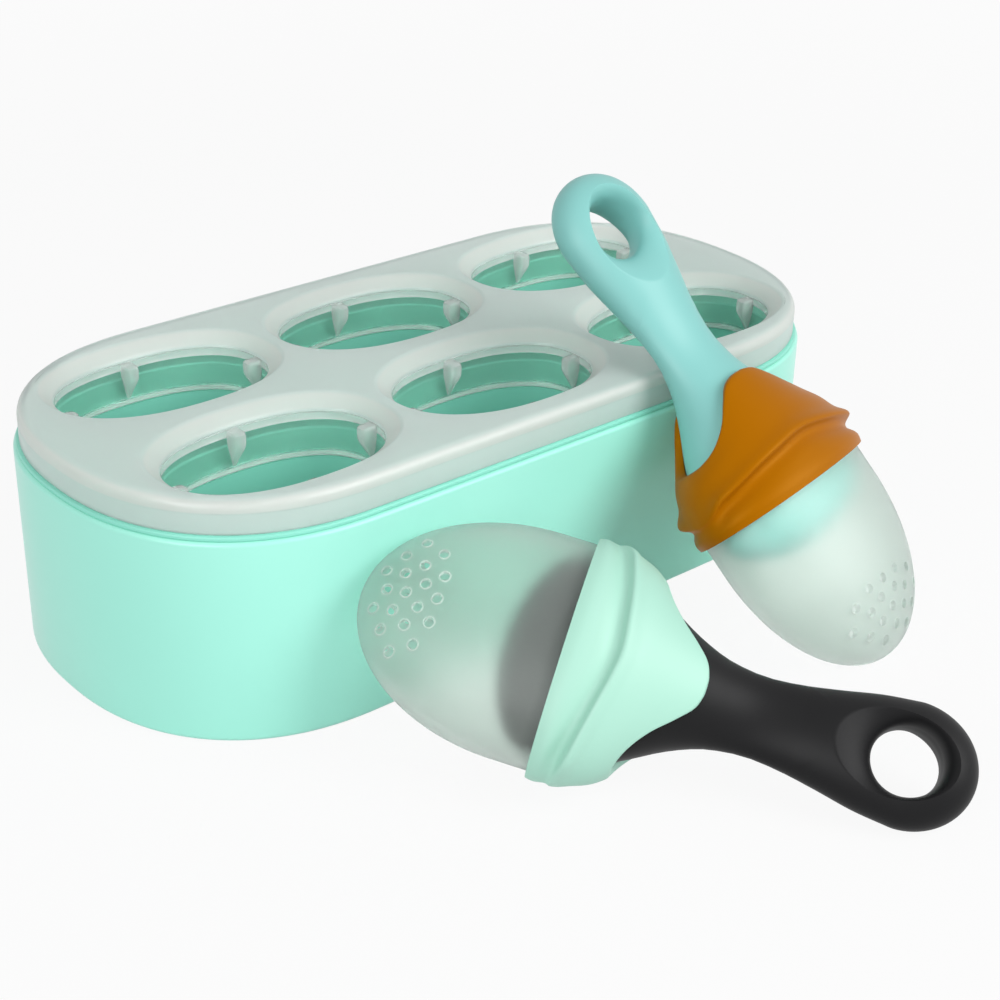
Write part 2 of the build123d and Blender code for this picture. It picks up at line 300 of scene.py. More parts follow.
# The shallow groove under the crown: how far its upper edge lies below the crown's arc, its depth,
# and how far below that edge its bottom starts and ends and its lower edge lies.
CROWN_FOOT = 0.7
GROOVE_DEPTH = 0.22
GROOVE_LEVELS = (0.15, 0.6, 1.4)
# The slope round an opening, from the plate down to the lip: (outwards, below the lid's top).
LIP_WIDTH = 3.8
LIP_SLOPE = [(LIP_WIDTH + 0.5, 0.0), (LIP_WIDTH + 0.1, 0.07), (LIP_WIDTH - 0.35, 0.35)]
LIP_SLOPE += [(0.8, LIP_DROP - 0.85), (0.35, LIP_DROP - 0.4), (0.08, LIP_DROP), (0.0, LIP_DROP + 0.4)]
LIP_UNDERCUT = 0.12
SEAM_LEVEL = LIP_LEVEL - 0.6
SOCKET_LEVEL = SEAM_LEVEL - 0.8
SOCKET_WALL = 0.8
SOCKET_EDGE = 0.1


def tray_lid():
    """The lid: a plate with a rounded crown, a skirt, and six openings with their lips and sockets."""
    bm = bmesh.new()
    edge, under_level, foot = LID_EDGE, LID_TOP - LID_PLATE, LID_TOP - LID_CROWN - CROWN_FOOT
    inner = -LID_SKIRT
    rim = [(-LID_CROWN - CROWN_START, LID_TOP)]
    rim += arc((-LID_CROWN, LID_TOP - LID_CROWN), LID_CROWN, 90, 0, 8)
    rim += [(0.0, foot), (-GROOVE_DEPTH, foot - GROOVE_LEVELS[0])]
    rim += [(-GROOVE_DEPTH, foot - GROOVE_LEVELS[1]), (0.0, foot - GROOVE_LEVELS[2])]
    rim += arc((-edge, FLANGE_TOP + edge), edge, 0, -90, 3)
    rim += arc((inner + edge, FLANGE_TOP + edge), edge, -90, -180, 3)
    rim += [(inner, under_level - LID_BEND), (inner - 0.3 * LID_BEND, under_level - 0.3 * LID_BEND)]
    rim += [(inner - LID_BEND, under_level)]
    top, under = skin(bm, TRAY_STEPS, [tray_shape(*section) for section in rim])
    lip = [(outwards, LID_TOP - below) for outwards, below in LIP_SLOPE]
    lip += [(LIP_UNDERCUT, SEAM_LEVEL), (SLEEVE_WALL, SEAM_LEVEL)]
    lip += [(SLEEVE_WALL, SOCKET_LEVEL + SOCKET_EDGE), (SLEEVE_WALL + SOCKET_EDGE, SOCKET_LEVEL)]
    lip += [(SLEEVE_WALL + SOCKET_WALL, SOCKET_LEVEL), (SLEEVE_WALL + LIP_WIDTH, under_level)]
    for place in OPENINGS.values():
        first, last = skin(bm, OPENING_STEPS, [opening_shape(place, *section) for section in lip])
        top += first
        under += last
    for plate in (top, under):
        bmesh.ops.triangle_fill(bm, use_beauty=True, edges=plate)
    close_shape(bm)
    return finished(bm, "lid", sharp=35)


# ---------------------------------------------------------------- tray: sleeves
FIN_HALF_WIDTH = 1.8
FIN_REACH = 3.9
FIN_ROOT = 0.55
FIN_ROOT_SHARE = 0.9
FIN_SQUARENESS = 0.45
FIN_STEPS = 24
FIN_DROP = 0.8
# One fin from its tip to its head: (share of its width, share of its reach, level below the head).
FIN_SECTIONS = [
    (0.28, 0.08, 9.6), (0.42, 0.26, 8.3), (0.62, 0.52, 6.6), (0.84, 0.82, 4.8), (0.97, 0.98, 3.4),
    (1.0, 1.0, 2.4), (1.0, 1.0, 1.0), (0.95, 0.96, 0.4), (0.8, 0.84, 0.1), (0.0, 0.0, 0.0),
]
FOOT_BAND = 1.4
TOP_BAND = 2.0
# How far the clear wall stays from the two bands, and the sleeve from its socket.
BAND_GAP = 0.05
SOCKET_GAP = 0.04
SLEEVE_OUTSIDE = SLEEVE_WALL - SOCKET_GAP
BAND_EDGE = 0.1
BAND_SHOULDER = 0.2
# The band's inner upper corner: (outwards, below the band's top).
BAND_CORNER = [(0.25, 0.0), (0.05, 0.12), (0.0, 0.4)]
# The bead's inner rounding is centred this far outwards; its inner face slopes back at the top.
BEAD_CENTRE = 0.35
BEAD_ROUNDINGS = (0.55, 0.5)
BEAD_PROUD = 0.12
BEAD_SLOPE = 0.25


def sleeve_ring(bm, place, sections):
    """A closed ring round one opening."""
    first, last = skin(bm, OPENING_STEPS, [opening_shape(place, *section) for section in sections])
    bmesh.ops.bridge_loops(bm, edges=first + last)


def sleeve_wall(place):
    """The clear wall between the sleeve's thick edges."""
    bm = bmesh.new()
    low, high = SLEEVE_FOOT + FOOT_BAND + BAND_GAP, SEAM_LEVEL - TOP_BAND - BAND_GAP
    sleeve_ring(bm, place, [(0.0, high), (0.0, low), (SLEEVE_OUTSIDE, low), (SLEEVE_OUTSIDE, high)])
    close_shape(bm)
    return finished(bm, "sleeve_wall", sharp=35)


def fin(bm, foot, inward):
    """One tapered fin, with a rounded head, on the sleeve's wall."""
    along = Vector((-inward.y, inward.x))
    head = LIP_LEVEL - FIN_DROP

    def shape_at(width, reach, below):
        def shape(turn):
            t = math.tau * turn
            c, s = math.cos(t), math.sin(t)
            across = FIN_HALF_WIDTH * width * math.copysign(abs(c) ** FIN_SQUARENESS, c)
            if s > 0:
                out = FIN_REACH * reach * s ** FIN_SQUARENESS
            else:
                out = FIN_ROOT * min(width, FIN_ROOT_SHARE) * s
            flat = foot + along * across + inward * out
            return Vector((flat.x, flat.y, head - below))

        return shape

    first, _ = skin(bm, FIN_STEPS, [shape_at(*section) for section in FIN_SECTIONS])
    bmesh.ops.edgeloop_fill(bm, edges=first)


def sleeve_edges(place):
    """The sleeve's thick upper band, the bead round its foot and its four fins."""
    bm = bmesh.new()
    outer, edge = SLEEVE_OUTSIDE, BAND_EDGE
    top = SEAM_LEVEL - SOCKET_GAP
    low = top - TOP_BAND
    band = [(outer - BAND_SHOULDER, top)]
    band += [(outwards, top - below) for outwards, below in BAND_CORNER]
    band += [(0.0, low + edge), (edge, low), (outer - edge, low), (outer, low + edge)]
    band += [(outer, top - BAND_SHOULDER)]
    sleeve_ring(bm, place, band)
    foot, high = SLEEVE_FOOT, SLEEVE_FOOT + FOOT_BAND
    inside, outside = BEAD_ROUNDINGS
    bead = arc((BEAD_CENTRE, foot + inside), inside, 180, 270, 4)
    bead += arc((outer - outside, foot + outside), outside, 270, 360, 4)
    bead += [(outer, high), (0.0, high), (-BEAD_PROUD, high - BEAD_SLOPE)]
    sleeve_ring(bm, place, bead)
    for side in (-1, 1):
        fin(bm, Vector((place[0], place[1] + side * OPENING_HALF[1])), Vector((0, -side)))
        fin(bm, Vector((place[0] + side * OPENING_HALF[0], place[1])), Vector((-side, 0)))
    close_shape(bm)
    return finished(bm, "sleeve_edges", sharp=40)


# ---------------------------------------------------------------- feeders: where they lie
# Places in millimetres; heading, slope and roll in degrees.
LIES = {
    "black": {"origin": (-38.3, -94.6411, 27.2125), "heading": -53.4, "slope": -11.3, "roll": 40.4},
    "aqua": {"origin": (44.3, -84.3423, 36.5537), "heading": 104.5, "slope": 46.0, "roll": -11.2},
}


def lie_matrix(colour):
    """Turns a feeder, modelled along X, to how it lies, and moves it there."""
    lie = LIES[colour]
    roll, slope, heading = (math.radians(lie[name]) for name in ("roll", "slope", "heading"))
    rotation = Matrix.Rotation(heading, 4, "Z") @ Matrix.Rotation(-slope, 4, "Y")
    rotation = rotation @ Matrix.Rotation(roll, 4, "X")
    return Matrix.Translation(Vector(lie["origin"]) * MM) @ rotation


# ---------------------------------------------------------------- feeders: bulb
BULB_HALF = (27.0, 16.2)
BULB_REACH = 39.0
BULB_STRAIGHT = 8.6
BULB_TUCK = 5.0
BULB_WALL = 1.5
BULB_SHARP = 35.0
BULB_STEPS = 128
BULB_END_STEPS = 32
FOOD_HOLE = 1.1
FOOD_HOLE_STEPS = 20
# The rim round a food hole: (distance from the hole's middle, height over the bulb's face).
HOLE_RIM = [(FOOD_HOLE, -0.3), (1.08, 0.02), (1.18, 0.12), (1.34, 0.1), (1.46, -0.04), (1.4, -0.3)]
# The food holes: (distance along the bulb, distances across it).
FOOD_HOLE_ROWS = [
    (29.5, (-5.5, 0.0, 5.5)),
    (31.5, (-10.9, 10.9)),
    (33.1, (-2.8, 2.8)),
    (34.7, (-7.2, 7.2)),
    (36.3, (-13.2, 13.2)),
    (36.8, (0.0,)),
    (38.4, (-4.5, 4.5)),
    (39.8, (-9.0, 9.0)),
    (41.3, (0.0,)),
    (43.0, (-4.6, 4.6)),
]


def oval_shape(along, half_width, half_thickness):
    """A loop across the feeder, whose own length runs along X."""
    def shape(turn):
        t = math.tau * turn
        return Vector((along, half_width * math.cos(t), half_thickness * math.sin(t)))

    return shape


def bulb_sections(inset):
    """Loops of the bulb's wall from its open end to its tip."""
    width, thickness = BULB_HALF[0] - inset, BULB_HALF[1] - inset
    sections = [(BULB_TUCK, width, thickness), (-BULB_STRAIGHT, width, thickness)]
    for step in range(1, BULB_END_STEPS + 1):
        t = math.pi / 2 * step / BULB_END_STEPS
        along = -BULB_STRAIGHT - (BULB_REACH - inset) * math.sin(t)
        sections.append((along, width * math.cos(t), thickness * math.cos(t)))
    return sections


def feeder_bulb(colour):
    """The hollow bulb, with its food holes drilled through both faces."""
    bm = bmesh.new()
    loops = list(reversed(bulb_sections(0))) + bulb_sections(BULB_WALL)
    skin(bm, BULB_STEPS, [oval_shape(*loop) for loop in loops])
    close_shape(bm)
    bulb = finished(bm, colour + "_bulb", sharp=BULB_SHARP)
    drills = bmesh.new()
    for along, offsets in FOOD_HOLE_ROWS:
        for across in offsets:
            bmesh.ops.create_cone(
                drills, segments=FOOD_HOLE_STEPS, radius1=FOOD_HOLE, radius2=FOOD_HOLE,
                depth=4 * BULB_HALF[1], cap_ends=True, matrix=Matrix.Translation((-along, across, 0)))
    drill = finished(drills, colour + "_drill")
    cut = bulb.modifiers.new("food_holes", "BOOLEAN")
    cut.object = drill
    cut.solver = "EXACT"
    apply_modifiers(bulb)
    bpy.data.objects.remove(drill)
    bulb.data.shade_smooth()
    bulb.data.set_sharp_from_angle(angle=math.radians(BULB_SHARP))
    bulb.data.transform(lie_matrix(colour))
    return bulb


def bulb_face(along, across, side, height):
    """A point over the bulb's rounded face, above a place on its middle plane."""
    reach = along - BULB_STRAIGHT
    share = 1 - (reach / BULB_REACH) ** 2 - (across / BULB_HALF[0]) ** 2
    level = BULB_HALF[1] * math.sqrt(share)
    out = Vector((-reach / BULB_REACH ** 2, across / BULB_HALF[0] ** 2, level / BULB_HALF[1] ** 2))
    point = Vector((-along, across, level)) + out.normalized() * height
    return Vector((point.x, point.y, side * point.z))


def hole_rims(colour):
    """The low rim round each food hole, on both faces of the bulb."""
    bm = bmesh.new()

    def rim_shape(along, across, side, radius, height):
        def shape(turn):
            t = math.tau * turn
            return bulb_face(along + radius * math.cos(t), across + radius * math.sin(t), side, height)

        return shape

    for along, offsets in FOOD_HOLE_ROWS:
        for across in offsets:
            for side in (-1, 1):
                shapes = [rim_shape(along, across, side, *section) for section in HOLE_RIM]
                first, last = skin(bm, FOOD_HOLE_STEPS, shapes)
                bmesh.ops.bridge_loops(bm, edges=first + last)
    close_shape(bm)
    return finished(bm, colour + "_hole_rims", lie_matrix(colour), sharp=50)


# ---------------------------------------------------------------- feeders: handle
# Half widths and half thicknesses, by the distance along the handle.
HANDLE_WIDTHS = [
    (6.0, 24.6), (10.0, 23.4), (15.5, 20.6), (21.5, 17.2), (26.0, 14.5), (30.5, 12.3), (36.0, 10.4),
    (44.0, 9.4), (52.0, 10.0), (61.0, 11.6), (70.0, 13.5), (79.0, 14.6),
]
HANDLE_THICKNESSES = [
    (6.0, 13.9), (10.0, 13.8), (15.5, 13.3), (21.5, 12.3), (26.0, 11.0), (30.5, 9.4), (36.0, 7.4),
    (44.0, 5.4), (52.0, 5.7), (61.0, 7.2), (70.0, 8.2), (79.0, 8.5),
]
HANDLE_END = 94.6
HANDLE_END_FULLNESS = (2.0, 3.0)
EYE_AT = 78.5
EYE_RADIUS = 7.9
EYE_THROAT = 1.6
# The throat widens a little at a share of its height, and again where the dish starts.
THROAT_SHARE = 0.6
THROAT_GROWTH = (0.03, 0.1)
EYE_START = 54.0
EYE_ARC_STEPS = 88
EYE_LINE_STEPS = 24
EYE_STEPS = EYE_ARC_STEPS + EYE_LINE_STEPS
DISH_MIDDLE = 75.6
DISH_LENGTH = (14.2, 13.6)
DISH_WIDTH = 10.0
DISH_SWING = math.radians(68)
DISH_PARTS = [step / 10 for step in range(10)] + [0.965, 1.0]
FACE_PARTS = [0.03, 0.08, 0.18, 0.3, 0.42, 0.54, 0.66, 0.77, 0.86, 0.93, 0.975, 1.0]
SHAFT_STATIONS = [50.0, 46.0, 42.0, 38.5, 35.5, 33.0, 30.5, 28.0, 25.5, 23.0, 20.5, 18.0, 15.5, 13.0]
SHAFT_STATIONS += [10.0, 8.0, 6.6]
# A ray is halved this often to find the outline; it starts longer than the eye reaches.
OUTLINE_HALVINGS = 40
OUTLINE_REACH = 40.0
# Points this close to the middle plane or to the eye's seam count as on it.
SEAM_SNAP = 0.1
SEAM_TOLERANCE = 0.01


def closing(x, start, power):
    """How a handle section shrinks from its widest place to its rounded end."""
    part = min(max((x - start) / (HANDLE_END - start), 0.0), 1.0)
    return math.sqrt(1 - part ** power)


def handle_size(x):
    """The handle's half width and half thickness at a distance along it."""
    last = HANDLE_WIDTHS[-1][0]
    if x <= last:
        return eased(HANDLE_WIDTHS, x), eased(HANDLE_THICKNESSES, x)
    width = HANDLE_WIDTHS[-1][1] * closing(x, last, HANDLE_END_FULLNESS[0])
    return width, HANDLE_THICKNESSES[-1][1] * closing(x, last, HANDLE_END_FULLNESS[1])


def handle_level(x, y):
    """Height of the handle's upper face over its middle plane."""
    width, thickness = handle_size(x)
    share = min(abs(y) / width, 1.0) if width > 0 else 1.0
    return thickness * math.sqrt(1 - share * share)


def eye_outline(angle):
    """Where a ray from the eye's middle leaves the eye's outline."""
    direction = Vector((math.cos(angle), math.sin(angle)))
    near, far = 0.0, OUTLINE_REACH
    for _ in range(OUTLINE_HALVINGS):
        reach = (near + far) / 2
        x, y = EYE_AT + direction.x * reach, direction.y * reach
        inside = EYE_START <= x < HANDLE_END and abs(y) < handle_size(x)[0]
        near, far = (reach, far) if inside else (near, reach)
    return Vector((EYE_AT + direction.x * near, direction.y * near))


def eye_angle(turn):
    """Shares out the turns so that the eye's straight seam with the shaft has its own."""
    step = round(turn * EYE_STEPS)
    width = handle_size(EYE_START)[0]
    if step <= EYE_ARC_STEPS:
        return math.atan2(width, EYE_START - EYE_AT) * (2 * step / EYE_ARC_STEPS - 1)
    across = width * math.cos(math.pi * (step - EYE_ARC_STEPS) / EYE_LINE_STEPS)
    return math.atan2(across, EYE_START - EYE_AT) % math.tau


def dish_edge(angle):
    """The egg-shaped edge of the dish, longer towards the shaft."""
    length = DISH_LENGTH[0] if math.cos(angle) < 0 else DISH_LENGTH[1]
    return Vector((DISH_MIDDLE + length * math.cos(angle), DISH_WIDTH * math.sin(angle)))


def eye_shapes():
    """Loops of the eye's upper half, from its throat out to the handle's outline."""
    def throat(radius, level):
        def shape(turn):
            angle = eye_angle(turn)
            return Vector((EYE_AT + radius * math.cos(angle), radius * math.sin(angle), level))

        return shape

    def dish(part):
        def shape(turn):
            angle = eye_angle(turn)
            radius = EYE_RADIUS + THROAT_GROWTH[1]
            inner = Vector((EYE_AT, 0)) + radius * Vector((math.cos(angle), math.sin(angle)))
            outer = dish_edge(angle)
            top = handle_level(outer.x, outer.y)
            swing = DISH_SWING * part
            flat = inner.lerp(outer, (1 - math.cos(swing)) / (1 - math.cos(DISH_SWING)))
            rise = math.sin(swing) / math.sin(DISH_SWING)
            return Vector((flat.x, flat.y, EYE_THROAT + (top - EYE_THROAT) * rise))

        return shape

    def face(part):
        def shape(turn):
            angle = eye_angle(turn)
            flat = dish_edge(angle).lerp(eye_outline(angle), math.sin(math.pi / 2 * part))
            on_outline = part == 1 and flat.x >= EYE_START + SEAM_TOLERANCE
            return Vector((flat.x, flat.y, 0.0 if on_outline else handle_level(flat.x, flat.y)))

        return shape

    shapes = [throat(EYE_RADIUS, 0.0), throat(EYE_RADIUS + THROAT_GROWTH[0], EYE_THROAT * THROAT_SHARE)]
    return shapes + [dish(part) for part in DISH_PARTS] + [face(part) for part in FACE_PARTS]


def feeder_handle(colour):
    """The handle: the eye's upper half, the shaft's grown from its seam, and both mirrored."""
    bm = bmesh.new()
    _, outline = skin(bm, EYE_STEPS, eye_shapes())
    seam_end = EYE_START + SEAM_TOLERANCE
    seam = [edge for edge in outline if max(vert.co.x for vert in edge.verts) < seam_end]
    width, thickness = handle_size(EYE_START)
    for station in SHAFT_STATIONS:
        new_width, new_thickness = handle_size(station)
        made = bmesh.ops.extrude_edge_only(bm, edges=seam)["geom"]
        verts = {item for item in made if isinstance(item, bmesh.types.BMVert)}
        bmesh.ops.scale(bm, vec=(1, new_width / width, new_thickness / thickness), verts=list(verts))
        for vert in verts:
            vert.co.x = station
        edges = [item for item in made if isinstance(item, bmesh.types.BMEdge)]
        seam = [edge for edge in edges if edge.verts[0] in verts and edge.verts[1] in verts]
        width, thickness = new_width, new_thickness
    for vert in bm.verts:
        if vert.co.z < SEAM_SNAP:
            vert.co.z = 0.0
    everything = bm.verts[:] + bm.edges[:] + bm.faces[:]
    bmesh.ops.mirror(bm, geom=everything, axis="Z", merge_dist=MERGE)
    close_shape(bm, MERGE)
    open_edges = [edge for edge in bm.edges if len(edge.link_faces) == 1]
    bmesh.ops.edgeloop_fill(bm, edges=open_edges)
    bmesh.ops.recalc_face_normals(bm, faces=bm.faces)
    return finished(bm, colour + "_handle", lie_matrix(colour), sharp=50)


# ---------------------------------------------------------------- feeders: collar
COLLAR_STEPS = 192
# Half widths and half thicknesses, by the distance from the rim.
COLLAR_WIDTHS = [
    (0.0, 28.5), (2.5, 29.0), (6.0, 28.2), (9.0, 27.6), (14.6, 25.3), (20.5, 20.5), (27.0, 16.6),
    (34.0, 13.6),
]
COLLAR_THICKNESSES = [
    (0.0, 17.8), (2.5, 18.3), (6.0, 17.8), (9.0, 17.6), (14.6, 17.0), (20.5, 15.3), (27.0, 13.2),
    (34.0, 10.9),
]
# How far the skirt reaches, by the angle from the collar's narrow side, in degrees.
SKIRT_REACH = [
    (0, 17.5), (10, 17.6), (17, 17.8), (27, 18.7), (35, 20.2), (45, 23.2), (55, 27.2), (67, 30.6),
    (80, 31.9), (90, 32.1),
]
# The finger ridge round one half of the collar, by the angle from one narrow side: the distance
# of its crest from the rim, and the factor on its height.
RIDGE_AT = [
    (0, 5.6), (14, 6.2), (27, 8.2), (40, 9.3), (57, 10.7), (75, 11.8), (90, 12.4), (102, 11.7), (115, 10.4),
    (134, 8.6), (156, 6.8), (180, 5.6),
]
RIDGE_HEIGHT = [
    (0, 0.4), (12, 0.45), (25, 1.0), (40, 1.2), (60, 1.2), (100, 1.1), (130, 1.3), (149, 1.65), (158, 1.2),
    (168, 0.55), (180, 0.4),
]
RIDGE_CREST = 1.35
# How far the crest falls off towards the skirt and towards the rim.
CREST_WIDTHS = (2.6, 0.8)
RIDGE_VALLEY = 0.85
VALLEY_OFFSET = 2.4
VALLEY_WIDTH = 2.1
# Loops of the outer face, closer together at the ridge, at 1.
COLLAR_PARTS = [0.0, 0.03, 0.08, 0.16, 0.26, 0.38, 0.5, 0.6, 0.68, 0.76, 0.82, 0.87, 0.91, 0.94, 0.97, 1.0]
COLLAR_PARTS += [1.03, 1.06, 1.1, 1.15, 1.21, 1.28, 1.36, 1.45, 1.55, 1.65, 1.75, 1.85, 1.94, 2.0]
RIM_FADE = 2.0
BRIM_ROUNDING = 0.5
BRIM_PARTS = (0.2, 0.4, 0.6, 0.8)
INSIDE_STEPS = 14
INSIDE_START = 0.5
# The inner face hugs the bulb and then, between two distances from the rim, changes to the handle.
BULB_FIT = 0.05
HANDLE_FIT = 0.25
HUG_CHANGE = (4.0, 6.5)
HANDLE_ROOT = HANDLE_WIDTHS[0][0]


def ridge_turn(turn):
    """Angle within one half of the collar: its two halves are the same, turned by half a turn."""
    return (math.degrees(math.tau * turn)) % 180.0


def skirt_reach(turn):
    """How far the skirt reaches along the handle, the same on all four quarters."""
    angle = ridge_turn(turn)
    return eased(SKIRT_REACH, min(angle, 180.0 - angle))


def ridge_profile(beyond):
    """The ridge's height at a distance beyond its crest."""
    width = CREST_WIDTHS[0] if beyond > 0 else CREST_WIDTHS[1]
    crest = RIDGE_CREST * math.exp(-(beyond / width) ** 2)
    return crest - RIDGE_VALLEY * math.exp(-((beyond + VALLEY_OFFSET) / VALLEY_WIDTH) ** 2)


def collar_point(turn, along, out):
    """A point of the collar's outer face, raised by a height."""
    t = math.tau * turn
    width = eased(COLLAR_WIDTHS, along) + out
    thickness = eased(COLLAR_THICKNESSES, along) + out
    return Vector((along, width * math.cos(t), thickness * math.sin(t)))


def collar_outer(part):
    """A loop of the collar's outer face; parts run 0 to 1 to the ridge and 1 to 2 to the skirt's edge."""
    def shape(turn):
        angle = ridge_turn(turn)
        crest, reach = eased(RIDGE_AT, angle), skirt_reach(turn) - BRIM_ROUNDING
        along = crest * part if part <= 1 else crest + (reach - crest) * (part - 1)
        out = eased(RIDGE_HEIGHT, angle) * ridge_profile(along - crest)
        return collar_point(turn, along, out * rising(0.0, RIM_FADE, along))

    return shape


def collar_inner(part):
    """A loop of the inner face, from the skirt's edge back to the bulb's."""
    def shape(turn):
        along = (skirt_reach(turn) - BRIM_ROUNDING) * (1 - part) + INSIDE_START * part
        t = math.tau * turn
        hug = rising(*HUG_CHANGE, along)
        bulb = Vector(BULB_HALF) + Vector((BULB_FIT, BULB_FIT))
        handle = Vector(handle_size(max(along, HANDLE_ROOT))) + Vector((HANDLE_FIT, HANDLE_FIT))
        width, thickness = bulb.lerp(handle, hug)
        return Vector((along, width * math.cos(t), thickness * math.sin(t)))

    return shape


def collar_brim(part):
    """A loop on the rounded edge of the skirt, from outside to inside."""
    outer, inner = collar_outer(2.0), collar_inner(0.0)

    def shape(turn):
        swing = math.pi * part
        between = outer(turn).lerp(inner(turn), (1 - math.cos(swing)) / 2)
        return between + Vector((BRIM_ROUNDING * math.sin(swing), 0, 0))

    return shape


def feeder_collar(colour):
    """The collar, with its ridge, its two lobes and its inner face."""
    bm = bmesh.new()
    shapes = [collar_outer(part) for part in COLLAR_PARTS]
    shapes += [collar_brim(part) for part in BRIM_PARTS]
    shapes += [collar_inner(step / INSIDE_STEPS) for step in range(INSIDE_STEPS + 1)]
    first, last = skin(bm, COLLAR_STEPS, shapes)
    bmesh.ops.bridge_loops(bm, edges=first + last)
    close_shape(bm)
    return finished(bm, colour + "_collar", lie_matrix(colour), sharp=60)


# ---------------------------------------------------------------- materials
CLOUD_SCALE = 28.0
CLOUD_DETAIL = 3.0
GLOSS_SCALE = 90.0
FINE_DETAIL = 2.0
RELIEF_DEPTH = 0.2 * MM
EDGE_BLEND = 0.4


def new_group(name, inputs, outputs):
    """A shader node group with its sockets, and its two ends."""
    group = bpy.data.node_groups.new(name, "ShaderNodeTree")
    for label, kind in inputs:
        group.interface.new_socket(name=label, in_out="INPUT", socket_type=kind)
    for label, kind in outputs:
        group.interface.new_socket(name=label, in_out="OUTPUT", socket_type=kind)
    return group, group.nodes.new("NodeGroupInput"), group.nodes.new("NodeGroupOutput")


def moulded_group():
    """Soft unevenness of a moulded surface: cloudy colour, uneven gloss and a fine grain."""
    value, colour = "NodeSocketFloat", "NodeSocketColor"
    group, given, result = new_group(
        "moulded_surface",
        [
            ("Color", colour), ("Shade", colour), ("Cloud", value),
            ("Roughness", value), ("Spread", value), ("Grain", value),
        ],
        [("Color", colour), ("Roughness", value), ("Height", value)],
    )
    nodes, links = group.nodes, group.links
    place = nodes.new("ShaderNodeTexCoord")
    cloud = nodes.new("ShaderNodeTexNoise")
    cloud.inputs["Scale"].default_value = CLOUD_SCALE
    cloud.inputs["Detail"].default_value = CLOUD_DETAIL
    gloss = nodes.new("ShaderNodeTexNoise")
    gloss.inputs["Scale"].default_value = GLOSS_SCALE
    gloss.inputs["Detail"].default_value = FINE_DETAIL
    grain = nodes.new("ShaderNodeTexNoise")
    grain.inputs["Detail"].default_value = FINE_DETAIL
    for texture in (cloud, gloss, grain):
        links.new(place.outputs["Object"], texture.inputs["Vector"])
    links.new(given.outputs["Grain"], grain.inputs["Scale"])
    amount = nodes.new("ShaderNodeMath")
    amount.operation = "MULTIPLY"
    links.new(cloud.outputs["Fac"], amount.inputs[0])
    links.new(given.outputs["Cloud"], amount.inputs[1])
    mix = nodes.new("ShaderNodeMix")
    mix.data_type = "RGBA"
    links.new(amount.outputs[0], mix.inputs["Factor"])
    links.new(given.outputs["Color"], mix.inputs["A"])
    links.new(given.outputs["Shade"], mix.inputs["B"])
    links.new(mix.outputs["Result"], result.inputs["Color"])
    spread = nodes.new("ShaderNodeMath")
    spread.operation = "MULTIPLY_ADD"
    links.new(gloss.outputs["Fac"], spread.inputs[0])
    links.new(given.outputs["Spread"], spread.inputs[1])
    links.new(given.outputs["Roughness"], spread.inputs[2])
    links.new(spread.outputs[0], result.inputs["Roughness"])
    links.new(grain.outputs["Fac"], result.inputs["Height"])
    return group


MOULDED = moulded_group()


def moulded(name, color, shade, roughness, grain=1500.0, bump=0.02, cloud=0.5, spread=0.08, **shader):
    """A moulded plastic or silicone; shader holds plain values for the shader's own sockets."""
    material = bpy.data.materials.new(name)
    material.use_nodes = True
    nodes, links = material.node_tree.nodes, material.node_tree.links
    principled = nodes["Principled BSDF"]
    surface = nodes.new("ShaderNodeGroup")
    surface.node_tree = MOULDED
    surface.inputs["Color"].default_value = (*color, 1)
    surface.inputs["Shade"].default_value = (*shade, 1)
    surface.inputs["Cloud"].default_value = cloud
    surface.inputs["Roughness"].default_value = roughness
    surface.inputs["Spread"].default_value = spread
    surface.inputs["Grain"].default_value = grain
    relief = nodes.new("ShaderNodeBump")
    relief.inputs["Strength"].default_value = bump
    relief.inputs["Distance"].default_value = RELIEF_DEPTH
    links.new(surface.outputs["Color"], principled.inputs["Base Color"])
    links.new(surface.outputs["Roughness"], principled.inputs["Roughness"])
    links.new(surface.outputs["Height"], relief.inputs["Height"])
    links.new(relief.outputs["Normal"], principled.inputs["Normal"])
    for socket, value in shader.items():
        principled.inputs[socket.replace("_", " ")].default_value = value
    return material


def paint_edge_highlight(material, color, low, high):
    """Paints a highlight on the thick rounded edges of a frosted plate, which lie between two levels, by
    whitening their colour.
    """
    nodes, links = material.node_tree.nodes, material.node_tree.links
    place = nodes.new("ShaderNodeTexCoord")
    split = nodes.new("ShaderNodeSeparateXYZ")
    links.new(place.outputs["Object"], split.inputs[0])
    between = nodes.new("ShaderNodeMath")
    between.operation = "MULTIPLY"
    fades = (
        (low - EDGE_BLEND, low + EDGE_BLEND, 0.0, 1.0),
        (high - 2 * EDGE_BLEND, high, 1.0, 0.0),
    )
    for factor, values in zip(between.inputs, fades):
        fade = nodes.new("ShaderNodeMapRange")
        fade.interpolation_type = "SMOOTHSTEP"
        fade.inputs["From Min"].default_value = values[0] * MM
        fade.inputs["From Max"].default_value = values[1] * MM
        fade.inputs["To Min"].default_value = values[2]
        fade.inputs["To Max"].default_value = values[3]
        links.new(split.outputs["Z"], fade.inputs["Value"])
        links.new(fade.outputs[0], factor)
    principled = nodes["Principled BSDF"]
    plain = principled.inputs["Base Color"].links[0].from_socket
    mix = nodes.new("ShaderNodeMix")
    mix.data_type = "RGBA"
    links.new(between.outputs[0], mix.inputs["Factor"])
    links.new(plain, mix.inputs["A"])
    mix.inputs["B"].default_value = (*color, 1)
    links.new(mix.outputs["Result"], principled.inputs["Base Color"])


